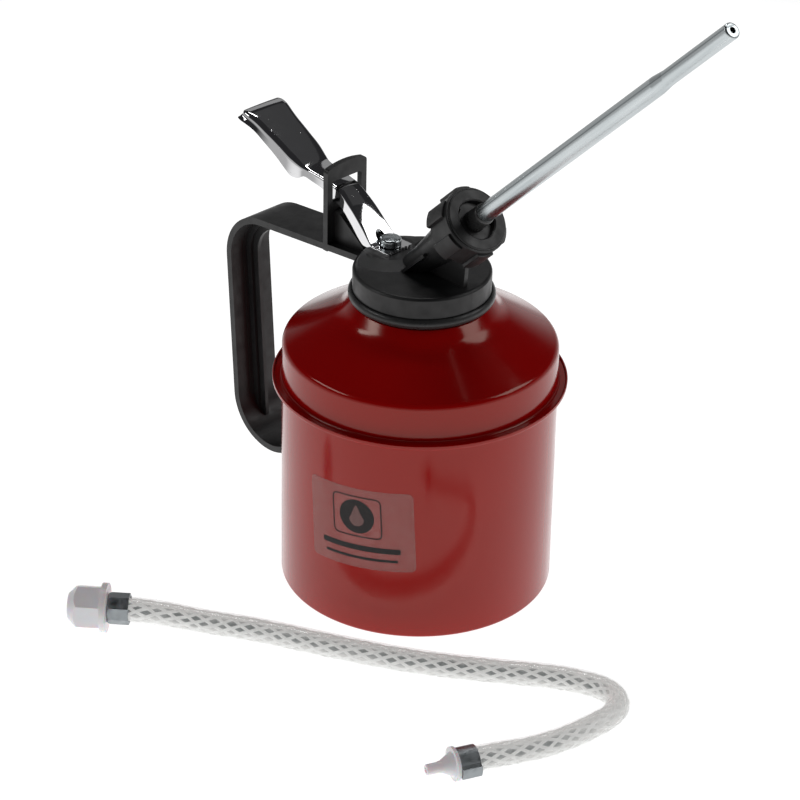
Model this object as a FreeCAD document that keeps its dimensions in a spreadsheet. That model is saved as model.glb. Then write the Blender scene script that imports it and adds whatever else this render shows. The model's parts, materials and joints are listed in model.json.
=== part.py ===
import FreeCAD, Part
import Sketcher
import math
import os

# Fluid transfer pump: a red steel can with a screw-on nylon pump head, a thumb lever,
# a rigid spout held by a gland nut, and a loose flexible spout that lies beside it.
# Millimetres. Origin at the centre of the can's base, +Z up, +X towards the spout,
# handle towards -X.

V = FreeCAD.Vector
UP = V(0, 0, 1)
document = FreeCAD.newDocument("fluid_transfer_pump")
sheet = document.addObject("Spreadsheet::Sheet", "dims")

# ---------------------------------------------------------------- driving dimensions
DIMENSIONS = (
    ("can_radius", 44.0, "outside of the can's wall"),
    ("can_wall", 0.5, "sheet steel"),
    ("rim_radius", 47.0, "outside of the rolled rim"),
    ("rim_height", 70.7, "underside of the rim flange"),
    ("band_top", 82.9, "top of the upright band on the shoulder"),
    ("land_radius", 22.2, "small end of the shoulder's slope"),
    ("land_height", 99.3, "flat land that the neck ring stands on"),
    ("neck_bore", 18.35, "bore of the neck ring"),
    ("thread_root", 19.0, "neck ring outside, between its thread ridges"),
    ("thread_crest", 19.5, "neck ring outside, over its thread ridges"),
    ("cap_radius", 21.95, "outside of the cap's skirt"),
    ("cap_bore", 20.05, "inside of the cap's skirt"),
    ("cap_crest", 19.8, "inside of the cap's thread ridges"),
    ("skirt_bottom", 102.9, "lower edge of the cap's skirt"),
    ("disc_bottom", 107.7, "underside of the cap's disc"),
    ("disc_top", 110.0, "top of the cap's disc"),
    ("mound_top", 111.2, "top of the low cone round the rod"),
    ("gasket_radius", 23.3, "outside of the rubber bead"),
    ("rod_offset", 14.45, "pump axis from the can's axis"),
    ("rod_radius", 1.5, "piston rod"),
    ("barrel_bore", 2.9, "inside of the pump barrel"),
    ("barrel_radius", 3.6, "outside of the pump barrel"),
    ("barrel_bottom", 62.0, "lower end of the barrel"),
    ("barrel_top", 107.2, "upper end of the barrel, inside the cap"),
    ("gallery_height", 105.9, "cross passage from the barrel to the outlet"),
    ("piston_bottom", 79.4, "underside of the brass piston at rest"),
    ("grip_width", 17.0, "handle and arm, side to side"),
    ("grip_web", 2.2, "thickness of the handle's web"),
    ("guard_offset", 35.3, "middle of the lever guard from the can's axis"),
    ("guard_thickness", 2.0, "lever guard, front to back"),
    ("sill_height", 121.3, "lever's fulcrum: centre of the rounded window sill"),
    ("sill_radius", 1.0, "rounding of the window sill"),
    ("window_half", 6.3, "half width of the guard's window"),
    ("window_top", 129.1, "top of the guard's window"),
    ("foot_top", 112.3, "top of the lever's foot"),
    ("lever_sheet", 0.9, "pressed steel of the lever"),
    ("spout_angle", 44.5, "spout axis above the horizontal, degrees"),
    ("nut_face_x", 23.0, "centre of the gland nut's face"),
    ("nut_face_z", 135.1, "centre of the gland nut's face"),
    ("nut_length", 10.6, "gland nut, end to end"),
    ("nut_face_radius", 10.2, "radius of the nut's face disc"),
    ("nut_collar", 10.9, "radius of the nut's collar behind the face disc"),
    ("nut_floor", 10.6, "radius of the nut between its grip pads"),
    ("nut_pad", 11.75, "radius over the nut's grip pads"),
    ("nut_mouth", 6.4, "radius of the opening in the nut's face"),
    ("spout_radius", 3.0, "outside of the spout tube"),
    ("spout_bore", 2.2, "inside of the spout tube"),
    ("spout_reach", 131.7, "tip of the spout, measured from the nut's face"),
    ("spout_swage", 96.0, "start of the spout's swaged end, measured from the nut's face"),
    ("tip_radius", 2.55, "outside of the swaged tip"),
    ("hose_radius", 4.2, "outside of the flexible hose"),
    ("hose_bore", 2.6, "inside of the flexible hose"),
)
for row, (alias, value, meaning) in enumerate(DIMENSIONS, start=1):
    sheet.set("A%d" % row, meaning)
    sheet.set("B%d" % row, str(value))
    sheet.setAlias("B%d" % row, alias)
document.recompute()


class Dim:
    """A length that knows its number and the spreadsheet formula that gives it."""

    def __init__(self, value, text=None):
        self.value = float(value)
        self.text = text if text else repr(round(float(value), 6))

    def joined(self, other, sign, value):
        return Dim(value, "(%s %s %s)" % (self.text, sign, as_dim(other).text))

    def __add__(self, other):
        return self.joined(other, "+", self.value + as_dim(other).value)

    def __sub__(self, other):
        return self.joined(other, "-", self.value - as_dim(other).value)

    def __mul__(self, other):
        return self.joined(other, "*", self.value * as_dim(other).value)

    def __radd__(self, other):
        return as_dim(other) + self

    def __neg__(self):
        return Dim(-self.value, "(-1 * %s)" % self.text)


def as_dim(number):
    return number if isinstance(number, Dim) else Dim(number)


class Dims:
    """Every alias of the sheet as an attribute, such as dims.can_radius."""


dims = Dims()
for alias, value, meaning in DIMENSIONS:
    setattr(dims, alias, Dim(value, "dims.%s" % alias))

NODES = []


def node(label, item):
    """Name a finished sub-part: the label is its file name too."""
    item.Label = label
    NODES.append(item)
    return item


def bind(item, **sizes):
    """Tie an object's properties to the spreadsheet."""
    for name, size in sizes.items():
        item.setExpression(name, as_dim(size).text)
    return item


# ---------------------------------------------------------------- sketches and bodies
def origin_feature(body, role):
    return [item for item in body.Origin.OriginFeatures if item.Role == role][0]


def new_body(name, placement=None):
    body = document.addObject("PartDesign::Body", name)
    if placement:
        body.Placement = placement
    return body


def draw_loop(sketch, outline):
    """A closed outline. A corner is (x, y), or (x, y, mid x, mid y) when an arc reaches it."""
    first = sketch.GeometryCount
    count = len(outline)
    corners = [[as_dim(number) for number in corner] for corner in outline]
    points = [V(corner[0].value, corner[1].value) for corner in corners]
    for index in range(count):
        following = corners[(index + 1) % count]
        start, end = points[index], points[(index + 1) % count]
        if len(following) == 4:
            middle = V(following[2].value, following[3].value)
            sketch.addGeometry(Part.Arc(start, middle, end))
        else:
            sketch.addGeometry(Part.LineSegment(start, end))
    ends = []
    for index in range(count):
        begins_here = sketch.getPoint(first + index, 1).distanceToPoint(points[index]) < 1e-6
        ends.append((1, 2) if begins_here else (2, 1))
    for index in range(count):
        piece, previous = first + index, first + (index - 1) % count
        sketch.addConstraint(Sketcher.Constraint("Coincident", previous, ends[index - 1][1],
                                                 piece, ends[index][0]))
        for kind, size, axis in (("DistanceX", corners[index][0], -2),
                                 ("DistanceY", corners[index][1], -1)):
            if abs(size.value) < 1e-9:
                sketch.addConstraint(Sketcher.Constraint("PointOnObject", piece, ends[index][0], axis))
                continue
            place = sketch.addConstraint(Sketcher.Constraint(kind, -1, 1, piece, ends[index][0],
                                                             size.value))
            sketch.setExpression("Constraints[%d]" % place, size.text)
        if len(corners[(index + 1) % count]) == 4:
            bend = sketch.Geometry[piece].Radius
            sketch.addConstraint(Sketcher.Constraint("Radius", piece, bend))


def new_sketch(body, plane, loops, offset=0.0, turn=0.0):
    sketch = body.newObject("Sketcher::SketchObject", body.Name + "_sketch")
    sketch.AttachmentSupport = (origin_feature(body, plane), [""])
    sketch.MapMode = "FlatFace"
    sketch.AttachmentOffset = FreeCAD.Placement(V(0, 0, offset), FreeCAD.Rotation(UP, turn))
    for loop in loops:
        draw_loop(sketch, loop)
    return sketch


def lathe(name, *loops, placement=None, degrees=360.0):
    """A turned piece: half sections in (radius, height), revolved about the body's Z axis."""
    body = new_body(name, placement)
    sketch = new_sketch(body, "XZ_Plane", loops)
    turned = body.newObject("PartDesign::Revolution", name + "_turned")
    turned.Profile = sketch
    turned.ReferenceAxis = (sketch, ["V_Axis"])
    turned.Angle = degrees
    body.Tip = turned
    return body


def plate(name, plane, thickness, *loops, placement=None):
    """A flat piece, symmetric about its plane: an outline and its holes, extruded."""
    body = new_body(name, placement)
    sketch = new_sketch(body, plane, loops)
    pad = body.newObject("PartDesign::Pad", name + "_pad")
    pad.Profile = sketch
    pad.SideType = "Symmetric"
    bind(pad, Length=thickness)
    body.Tip = pad
    return body


def ring(name, inner, outer, low, high, placement=None):
    """A plain turned ring or tube."""
    return lathe(name, [(inner, low), (outer, low), (outer, high), (inner, high)],
                 placement=placement)


def rod(name, radius, low, high, placement=None):
    """A plain cylinder along its own Z axis, from low to high."""
    item = document.addObject("Part::Cylinder", name)
    bind(item, Radius=radius, Height=as_dim(high) - low)
    place = placement or FreeCAD.Placement()
    item.Placement = place.multiply(FreeCAD.Placement(UP * as_dim(low).value, FreeCAD.Rotation()))
    return item


def ball(name, radius, placement):
    item = document.addObject("Part::Sphere", name)
    bind(item, Radius=radius)
    item.Placement = placement
    return item


def block(name, low, high, placement=None):
    """A box between two corners."""
    item = document.addObject("Part::Box", name)
    item.Length = high[0] - low[0]
    item.Width = high[1] - low[1]
    item.Height = high[2] - low[2]
    place = placement or FreeCAD.Placement()
    item.Placement = place.multiply(FreeCAD.Placement(V(*low), FreeCAD.Rotation()))
    return item


def fuse(name, *items):
    joined = document.addObject("Part::MultiFuse", name)
    joined.Shapes = list(items)
    joined.Refine = True
    return joined


def cut(name, base, *tools):
    result = base
    for index, tool in enumerate(tools):
        step = document.addObject("Part::Cut", "%s_cut%d" % (name, index))
        step.Base = result
        step.Tool = tool
        step.Refine = index == len(tools) - 1
        result = step
    return result


def common(name, first, second):
    shared = document.addObject("Part::Common", name)
    shared.Base = first
    shared.Tool = second
    return shared


def feature(name, shape):
    item = document.addObject("Part::Feature", name)
    item.Shape = shape
    return item


# ---------------------------------------------------------------- places of the sub-assemblies
PUMP = FreeCAD.Placement(V(-dims.rod_offset.value, 0, 0), FreeCAD.Rotation())
NUT_FACE = V(dims.nut_face_x.value, 0, dims.nut_face_z.value)
# In this frame +Z runs out along the spout from the nut's face, and +X is the underside.
SPOUT = FreeCAD.Placement(NUT_FACE, FreeCAD.Rotation(V(0, 1, 0), 90 - dims.spout_angle.value))


# ---------------------------------------------------------------- can
def make_can():
    wall, radius, rim = dims.can_wall, dims.can_radius, dims.rim_radius
    flange, corner = dims.rim_height, 1.4
    node("can_body", lathe("can_body", [
        (0, 0), (radius - corner, 0), (radius, corner, 43.59, 0.41), (radius, flange - 0.4),
        (radius + 0.4, flange), (rim - 0.5, flange), (rim, flange + 0.5, 46.854, 70.846),
        (rim, flange + 1.6), (rim - wall, flange + 1.6), (rim - wall, flange + 0.5),
        (radius - wall, flange + 0.5), (radius - wall, corner), (radius - corner, wall, 43.236, 0.764),
        (0, wall)]))
    band, land, land_height = dims.band_top, dims.land_radius, dims.land_height
    hole = dims.thread_root - 0.1
    node("can_shoulder", lathe("can_shoulder", [
        (rim - 0.6, flange + 0.55), (rim - 0.6, flange + 1.05), (radius + 0.2, flange + 1.05),
        (radius - 0.1, flange + 1.4), (radius - 0.1, band), (43.1, 84.8, 43.72, 83.95), (27.5, 93.8),
        (land, 99.0, 24.6, 96.0), (land - 0.5, land_height), (hole, land_height),
        (hole, land_height - wall), (land - 0.7, land_height - wall), (land - 0.2, 98.39),
        (27.25, 93.37, 24.32, 95.57), (42.7, 84.45), (radius - 0.1 - wall, band - 0.2),
        (radius - 0.1 - wall, flange + 0.55)]))
    root, crest, bore = dims.thread_root, dims.thread_crest, dims.neck_bore
    seat, neck_bottom, neck_top = land_height + 0.05, 97.8, 103.9
    profile = [(bore, neck_bottom), (root - 0.15, neck_bottom), (root - 0.15, seat), (21.0, seat),
               (21.0, seat + 0.55), (root, seat + 0.55)]
    for low in (100.7, 102.4):
        profile += [(root, low), (crest, low + 0.4), (crest, low + 0.7), (root, low + 1.1)]
    profile += [(root, neck_top), (bore, neck_top)]
    node("neck_ring", lathe("neck_ring", profile))
    sticker_span, sticker_start = 49.5, -94.3
    turn = FreeCAD.Placement(V(0, 0, 0), FreeCAD.Rotation(UP, sticker_start))
    node("label_film", lathe("label_film", [
        (radius + 0.02, 24), (radius + 0.12, 24), (radius + 0.12, 53), (radius + 0.02, 53)],
        placement=turn, degrees=sticker_span))
    node("neck_gasket", lathe("neck_gasket", [
        (19.75, 99.95), (21.1, 99.95), (21.25, 99.55), (21.6, 99.5),
        (22.3, 103.0, dims.gasket_radius, 101.15), (22.1, 102.8), (19.75, 102.8)]))


# ---------------------------------------------------------------- bent paths
def bend_path(points, radii):
    """Straight runs joined by tangent arcs: one wire through a list of corners."""
    edges = []
    here = points[0]
    for index in range(1, len(points) - 1):
        corner = points[index]
        into = (corner - points[index - 1]).normalize()
        out = (points[index + 1] - corner).normalize()
        half_turn = into.getAngle(out) / 2
        radius = radii[index - 1]
        reach = radius * math.tan(half_turn)
        start, end = corner - into * reach, corner + out * reach
        bisector = (out - into).normalize()
        middle = corner + bisector * (radius / math.cos(half_turn) - radius)
        if here.distanceToPoint(start) > 1e-4:
            edges.append(Part.LineSegment(here, start).toShape())
        edges.append(Part.Arc(start, middle, end).toShape())
        here = end
    if here.distanceToPoint(points[-1]) > 1e-4:
        edges.append(Part.LineSegment(here, points[-1]).toShape())
    return edges


def ribbon(corners, radii, depth, width):
    """A bar of the given depth that follows a bent path on its inner side, seen from the side."""
    def offset_corners(shift):
        moved = []
        for index, corner in enumerate(corners):
            into = (corner - corners[max(index - 1, 0)]) if index else (corners[1] - corner)
            out = (corners[min(index + 1, len(corners) - 1)] - corner)
            out = out if index < len(corners) - 1 else into
            normal_in = into.normalize().cross(V(0, 1, 0))
            normal_out = out.normalize().cross(V(0, 1, 0))
            direction = normal_in + normal_out
            direction = direction * (1 / direction.dot(normal_in))
            moved.append(corner + direction * shift)
        return moved
    inner = offset_corners(depth)
    outer_edges = bend_path(corners, radii)
    inner_edges = bend_path(inner, [radius - depth for radius in radii])
    caps = [Part.LineSegment(corners[0], inner[0]).toShape(),
            Part.LineSegment(corners[-1], inner[-1]).toShape()]
    wire = Part.Wire(Part.__sortEdges__(outer_edges + inner_edges + caps))
    face = Part.Face(wire)
    face.translate(V(0, -width / 2, 0))
    return face.extrude(V(0, width, 0))


# ---------------------------------------------------------------- pump head
# Outside of the handle, from the cap along the arm and down round to its free end.
HANDLE_CORNERS = [V(-17.0, 0, 109.4), V(-83.5, 0, 103.2), V(-78.4, 0, 24.4), V(-56.3, 0, 17.5),
                  V(-49.2, 0, 26.7)]
HANDLE_BENDS = [17.5, 16.4, 16.4]
# The rib comes out of the arm's underside between its first two points.
RIB_CORNERS = [V(-52.0, 0, 110.5), V(-61.0, 0, 105.3), HANDLE_CORNERS[1], V(-78.5, 0, 26.0)]
RIB_BENDS = [12.0, HANDLE_BENDS[0]]
RIB_DEPTH = 6.6
RIB_STEPS = ((2.4, 6.4), (4.4, 3.4), (RIB_DEPTH, 1.3))


def make_handle():
    """Flat web with a tapering rib along its inner face."""
    web = feature("grip_web_solid", ribbon(HANDLE_CORNERS, HANDLE_BENDS, dims.grip_web.value,
                                           dims.grip_width.value))
    outline = bend_path(HANDLE_CORNERS, HANDLE_BENDS)
    outline.append(Part.LineSegment(HANDLE_CORNERS[-1], HANDLE_CORNERS[0]).toShape())
    inside = Part.Face(Part.Wire(outline)).extrude(V(0, 20, 0))
    inside.translate(V(0, -10, 0))
    ribs = []
    for index, (depth, width) in enumerate(RIB_STEPS):
        shape = ribbon(RIB_CORNERS, RIB_BENDS, depth, width).common(inside)
        ribs.append(feature("grip_rib_%d" % index, shape))
    return web, ribs


def make_guard():
    half, thick, bottom, side_top, shoulder = 8.5, dims.guard_thickness, 105.25, 132.0, 133.7
    window = dims.window_half
    place = FreeCAD.Placement(V(-dims.guard_offset.value, 0, 0), FreeCAD.Rotation())
    frame = plate("guard_frame", "YZ_Plane", thick,
                  [(-half, bottom), (half, bottom), (half, side_top),
                   (half - 1.4, shoulder, 8.15, 133.15), (-half + 1.4, shoulder, 0, 134.6),
                   (-half, side_top, -8.15, 133.15)],
                  [(-window, dims.sill_height), (window, dims.sill_height), (window, 128.3),
                   (window - 0.8, dims.window_top, 6.066, 128.866),
                   (-window + 0.8, dims.window_top), (-window, 128.3, -6.066, 128.866)],
                  placement=place)
    lying = FreeCAD.Placement(V(-dims.guard_offset.value, 0, dims.sill_height.value),
                              FreeCAD.Rotation(V(1, 0, 0), 90))
    sill = rod("guard_sill", dims.sill_radius, -7.0, 7.0, lying)
    gusset = plate("guard_gusset", "XZ_Plane", 10.6,
                   [(-34.8, 105.6), (-34.8, 118.9), (-32.0, 118.2), (-24.2, 112.5), (-21.3, 110.3),
                    (-20.5, 109.0), (-20.5, 107.2)])
    return frame, sill, gusset


def make_pump_cover():
    radius, bore, crest = dims.cap_radius, dims.cap_bore, dims.cap_crest
    bottom, under, top = dims.skirt_bottom, dims.disc_bottom, dims.disc_top
    inside = [(bore, bottom)]
    for low in (103.3, 105.0):
        inside += [(bore, low), (crest, low + 0.3), (crest, low + 0.5), (bore, low + 0.8)]
    cap = lathe("cap", [(0, under), (0, top), (20.6, top), (radius, top - 0.9, 21.6, 109.7),
                        (radius, bottom)] + inside + [(bore, under)])
    mound = lathe("mound", [(0, top - 1), (14.4, top - 1), (14.4, top), (8.6, dims.mound_top),
                            (0, dims.mound_top)], placement=PUMP)
    mound_trim = rod("mound_trim", 20.4, 108.0, 113.0)
    mound_trimmed = common("mound_trimmed", mound, mound_trim)
    chest = rod("valve_chest_round", 4.9, 104.4, 108.4, PUMP)
    chest_bar = block("valve_chest_bar", (-14.45, -3.2, 104.4), (-1.6, 3.2, 108.4))
    web, ribs = make_handle()
    cavity = rod("cap_cavity", bore, 90.0, under)
    arm = cut("arm", web, cavity)
    frame, sill, gusset = make_guard()
    boss_front, boss_root_radius, boss_crest = -4.5, 7.1, 7.5
    boss_profile = [(0, -37.4), (4.3, -37.4), (4.6, -30.0), (6.0, -19.0), (7.3, -10.6),
                    (boss_root_radius, -10.3)]
    for low in (-10.1, -7.9):
        boss_profile += [(boss_root_radius, low), (boss_crest, low + 0.4), (boss_crest, low + 1.1),
                         (boss_root_radius, low + 1.5)]
    boss_profile += [(boss_root_radius, boss_front), (0, boss_front)]
    boss = lathe("boss", boss_profile, placement=SPOUT)
    boss_trim = block("boss_trim", (-30, -20, 107.8), (60, 20, 160))
    boss_root = common("boss_root", boss, boss_trim)
    wings = block("wing_ribs", (0.0, -7.2, -36.0), (1.0, 7.2, -22.5), SPOUT)
    wing_trim = rod("wing_trim", 21.0, 108.4, 130.0)
    wings_trimmed = common("wings_trimmed", wings, wing_trim)
    back_fin = block("back_fin", (-5.3, -0.6, -31.5), (0.0, 0.6, -19.5), SPOUT)
    front_fin = plate("front_fin", "XZ_Plane", 1.6, [
        (3.5, 109.0), (18.7, 109.0), (19.4, 118.6), (13.5, 124.6), (2.0, 114.0)])
    solid = fuse("cover_solid", cap, mound_trimmed, chest, chest_bar, arm, frame, sill, gusset,
                 boss_root, wings_trimmed, back_fin, front_fin, *ribs)
    drillings = (
        rod("barrel_socket", dims.barrel_radius + 0.02, 100.0, dims.barrel_top, PUMP),
        rod("seal_pocket", 2.36, 107.0, 109.4, PUMP),
        rod("rod_hole", dims.rod_radius + 0.08, 109.0, 112.0, PUMP),
        rod("gallery", 0.9, 0.0, 12.0, FreeCAD.Placement(V(-13.0, 0, dims.gallery_height.value),
                                                        FreeCAD.Rotation(V(0, 1, 0), 90))),
        rod("outlet_passage", 1.0, -41.8, -19.0, SPOUT),
        rod("outlet_chamber", 2.4, -20.0, -8.0, SPOUT),
        rod("gland_socket", 4.3, -9.0, -4.0, SPOUT),
    )
    node("pump_cover", cut("pump_cover", solid, *drillings))


# ---------------------------------------------------------------- lever
# Top of the lever along its middle, from the back of the pad to the bend above the foot.
LEVER_TOP = [(-75.5, 139.5), (-75.0, 140.5), (-73.4, 140.75), (-64.0, 137.0), (-53.6, 131.8),
             (-48.2, 128.9), (-41.0, 127.7), (-34.8, 126.6), (-28.6, 123.0), (-22.1, 117.4),
             (-18.9, 113.8)]
# Half width of the lever against distance along X.
LEVER_PLAN = [(-74.0, 9.75), (-71.8, 9.4), (-67.0, 8.5), (-59.0, 7.8), (-54.5, 7.5), (-50.4, 6.4),
              (-47.3, 5.4), (-41.0, 4.9), (-34.3, 4.8), (-28.6, 5.1), (-22.1, 5.4), (-16.0, 5.5),
              (-10.2, 5.6)]
# Lower edge of the lever's side walls, from the foot to the back of the pad.
LEVER_SKIRT = [(-22.9, 112.6), (-27.2, 116.8), (-31.7, 120.4), (-35.0, 121.9), (-40.3, 123.9),
               (-45.4, 125.1), (-48.4, 125.8), (-49.8, 125.0), (-50.8, 124.6), (-52.3, 124.7),
               (-55.1, 126.6), (-59.0, 129.6), (-64.4, 133.1), (-69.9, 136.5), (-75.2, 138.5)]


def spline(points):
    curve = Part.BSplineCurve()
    curve.interpolate(points)
    return curve.toShape()


def polyline(points):
    return [Part.LineSegment(a, b).toShape() for a, b in zip(points, points[1:])]


def lever_side(drop, lower):
    """Side view of the lever between its top line, let down by drop, and a lower edge."""
    foot = dims.foot_top.value - drop
    line = [V(x, 0, z - drop) for x, z in LEVER_TOP]
    bend = V(-17.4, 0, foot + 0.25)
    flat, tip = V(-16.2, 0, foot), V(-10.2 + drop, 0, foot)
    edges = [spline(line + [bend])] + polyline([bend, flat, tip] + lower + [line[0]])
    face = Part.Face(Part.Wire(Part.__sortEdges__(edges)))
    face.translate(V(0, -12, 0))
    return face.extrude(V(0, 24, 0))


def mirrored(point):
    return V(point.x, -point.y, point.z)


def lever_plan(inset):
    """Plan view of the lever, with its sides and back drawn in by inset."""
    below = 100
    sides = [V(x, y - inset, below) for x, y in LEVER_PLAN]
    corner_start = sides[0]
    back = V(-75.6 + inset, corner_start.y - 1.7, below)
    knee = V(-75.2 + inset, corner_start.y - 0.5, below)
    edges = [spline(sides), spline([mirrored(point) for point in sides]),
             Part.Arc(corner_start, knee, back).toShape(),
             Part.Arc(mirrored(corner_start), mirrored(knee), mirrored(back)).toShape(),
             Part.LineSegment(back, mirrored(back)).toShape()]
    if inset:
        tip = sides[-1] + V(2.0, 0, 0)
        edges += polyline([sides[-1], tip, mirrored(tip), mirrored(sides[-1])])
    else:
        edges += polyline([sides[-1], mirrored(sides[-1])])
    return Part.Face(Part.Wire(Part.__sortEdges__(edges))).extrude(V(0, 0, 60))


def make_lever():
    """A channel pressed from sheet: a pad, a neck through the guard and a slotted foot."""
    sheet_steel = dims.lever_sheet.value
    foot_under = dims.foot_top.value - 1.0
    skirt = [V(-10.2, 0, foot_under), V(-20.9, 0, foot_under + 0.1)]
    skirt += [V(x, 0, z) for x, z in LEVER_SKIRT]
    outer = lever_side(0.0, skirt).common(lever_plan(0.0))
    deep = foot_under - 8
    hollow_side = lever_side(sheet_steel, [V(-10.2, 0, deep), V(-77.5, 0, deep), V(-77.5, 0, 138.0)])
    inner = hollow_side.common(lever_plan(sheet_steel))
    # The foot stays a flat plate: the hollow stops where the bend meets it.
    foot_keep = Part.makeBox(12, 24, 3, V(-19.4, -12, foot_under))
    shape = outer.cut(inner.cut(foot_keep))
    plate_foot = outer.common(Part.makeBox(12, 24, 1.0, V(-19.4, -12, foot_under)))
    shape = shape.fuse(plate_foot).removeSplitter()
    sill = V(-dims.guard_offset.value, -12, dims.sill_height.value)
    notch = dims.sill_radius.value + 0.12
    shape = shape.cut(Part.makeCylinder(notch, 24, sill, V(0, 1, 0)))
    shape = shape.cut(Part.makeBox(2 * notch, 24, 6, sill + V(-notch, 0, -6)))
    slot_half, slot_length = dims.rod_radius.value + 0.3, 4.2
    rod_x, slot_bottom, slot_height = -dims.rod_offset.value, foot_under - 2, 8
    front = Part.makeCylinder(slot_half, slot_height, V(rod_x, 0, slot_bottom))
    rear = Part.makeCylinder(slot_half, slot_height, V(rod_x - slot_length, 0, slot_bottom))
    middle = Part.makeBox(slot_length, 2 * slot_half, slot_height,
                          V(rod_x - slot_length, -slot_half, slot_bottom))
    shape = shape.cut(front.fuse([rear, middle]))
    # Serrated front edge of the foot: seven small notches.
    pitch, notch_radius, foot_tip = 1.3, 0.35, LEVER_PLAN[-1][0]
    for step in range(-3, 4):
        tooth = Part.makeCylinder(notch_radius, 4, V(foot_tip, step * pitch, foot_under - 1))
        shape = shape.cut(tooth)
    node("lever", feature("lever", shape))


# ---------------------------------------------------------------- piston pump
def crown_middle(base, height):
    """Half way along the arc of a shallow dome whose centre lies on the axis."""
    ball_radius = (base ** 2 + height ** 2) / (2 * height)
    half = math.asin(base / ball_radius) / 2
    return ball_radius * math.sin(half), height - ball_radius + ball_radius * math.cos(half)


def make_pump():
    rod_radius, bore = dims.rod_radius, dims.barrel_bore
    barrel = ring("barrel_tube", bore, dims.barrel_radius, dims.barrel_bottom, dims.barrel_top, PUMP)
    gallery = V(-dims.rod_offset.value, 0, dims.gallery_height.value)
    port = rod("barrel_port", 0.9, 0.0, 6.0, FreeCAD.Placement(gallery,
                                                               FreeCAD.Rotation(V(0, 1, 0), 90)))
    node("pump_barrel", cut("pump_barrel", barrel, port))
    node("rod_seal", lathe("rod_seal", [(rod_radius + 0.05, 107.35), (2.3, 107.35), (2.3, 109.3),
                                        (rod_radius + 0.6, 109.3), (rod_radius + 0.5, 108.2),
                                        (rod_radius + 0.05, 108.0)], placement=PUMP))
    piston = dims.piston_bottom
    head_radius, head_low, head_edge, head_top, rounding = 3.5, 112.6, 114.1, 115.25, 0.8
    flat_radius = head_radius - rounding
    crown_radius, crown_height = crown_middle(flat_radius, head_top - head_edge - rounding)
    round_middle = rounding * math.sqrt(0.5)
    node("piston_rod", lathe("piston_rod", [
        (0, piston - 3.6), (2.3, piston - 3.6), (2.3, piston - 2.6), (rod_radius, piston - 2.6),
        (rod_radius, head_low), (head_radius, head_low), (head_radius, head_edge),
        (flat_radius, head_edge + rounding, flat_radius + round_middle, head_edge + round_middle),
        (0, head_top, crown_radius, head_edge + rounding + crown_height)], placement=PUMP))
    node("piston_seal", lathe("piston_seal", [
        (rod_radius + 0.01, piston - 2.55), (2.3, piston - 2.55), (2.87, piston - 1.6),
        (2.87, piston - 0.05), (rod_radius + 0.01, piston - 0.05)], placement=PUMP))
    node("piston", lathe("piston", [
        (rod_radius + 0.01, piston), (bore - 0.06, piston), (bore - 0.06, piston + 1.4),
        (bore - 0.5, piston + 1.7), (bore - 0.5, piston + 2.5), (bore - 0.06, piston + 2.8),
        (bore - 0.06, piston + 4.2), (rod_radius + 0.01, piston + 4.2)], placement=PUMP))
    node("inlet_seat", lathe("inlet_seat", [
        (1.0, 64.2), (2.05, 64.0), (2.05, 60.0), (3.6, 60.0), (3.6, dims.barrel_bottom - 0.02),
        (bore - 0.02, dims.barrel_bottom - 0.02), (bore - 0.02, 66.0), (1.4, 66.0), (1.0, 65.5)],
        placement=PUMP))
    node("inlet_cage", ring("inlet_cage", 1.1, bore - 0.02, 70.6, 71.4, PUMP))
    seat_lift = FreeCAD.Placement(V(-dims.rod_offset.value, 0, 67.23), FreeCAD.Rotation())
    node("inlet_ball", ball("inlet_ball", 1.6, seat_lift))
    node("suction_tube", ring("suction_tube", 1.45, 2.0, 5.2, 63.9, PUMP))
    cup = lathe("strainer_cup", [(0, 3.0), (3.0, 3.0), (3.3, 3.4), (3.3, 9.4), (2.9, 10.0), (2.03, 10.0),
                                 (2.03, 8.6), (2.7, 8.2), (2.7, 3.8), (0, 3.8)], placement=PUMP)
    slots = [block("strainer_slot_%d" % turn, (-0.4, -4.0, 4.2), (0.4, 4.0, 7.8),
                   FreeCAD.Placement(PUMP.Base, FreeCAD.Rotation(UP, turn))) for turn in (0, 45, 90, 135)]
    node("strainer", cut("strainer", cup, *slots))


def make_return_spring():
    """Round wire coil between the piston and the cap."""
    wire_radius, coil_radius = 0.3, 2.22
    low = dims.piston_bottom.value + 4.2 + wire_radius + 0.05
    high = dims.barrel_top.value - wire_radius - 0.05
    turns = 11
    helix = Part.makeHelix((high - low) / turns, high - low, coil_radius)
    section = Part.Wire(Part.makeCircle(wire_radius, V(coil_radius, 0, 0), V(0, 1, 0)))
    sweep = Part.Wire(helix).makePipeShell([section], True, True)
    place = FreeCAD.Placement(V(-dims.rod_offset.value, 0, low), FreeCAD.Rotation())
    item = feature("return_spring", sweep)
    item.Placement = place
    node("return_spring", item)


def make_outlet_valve():
    node("outlet_seat", lathe("outlet_seat", [
        (0.9, -19.98), (2.37, -19.98), (2.37, -17.6), (1.3, -17.6), (0.9, -18.0)], placement=SPOUT))
    outlet_ball_centre = -16.55
    centre = SPOUT.multVec(V(0, 0, outlet_ball_centre))
    node("outlet_ball", ball("outlet_ball", 1.6, FreeCAD.Placement(centre, FreeCAD.Rotation())))
    node("outlet_cage", ring("outlet_cage", 1.1, 2.37, -13.3, -12.5, SPOUT))


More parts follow.
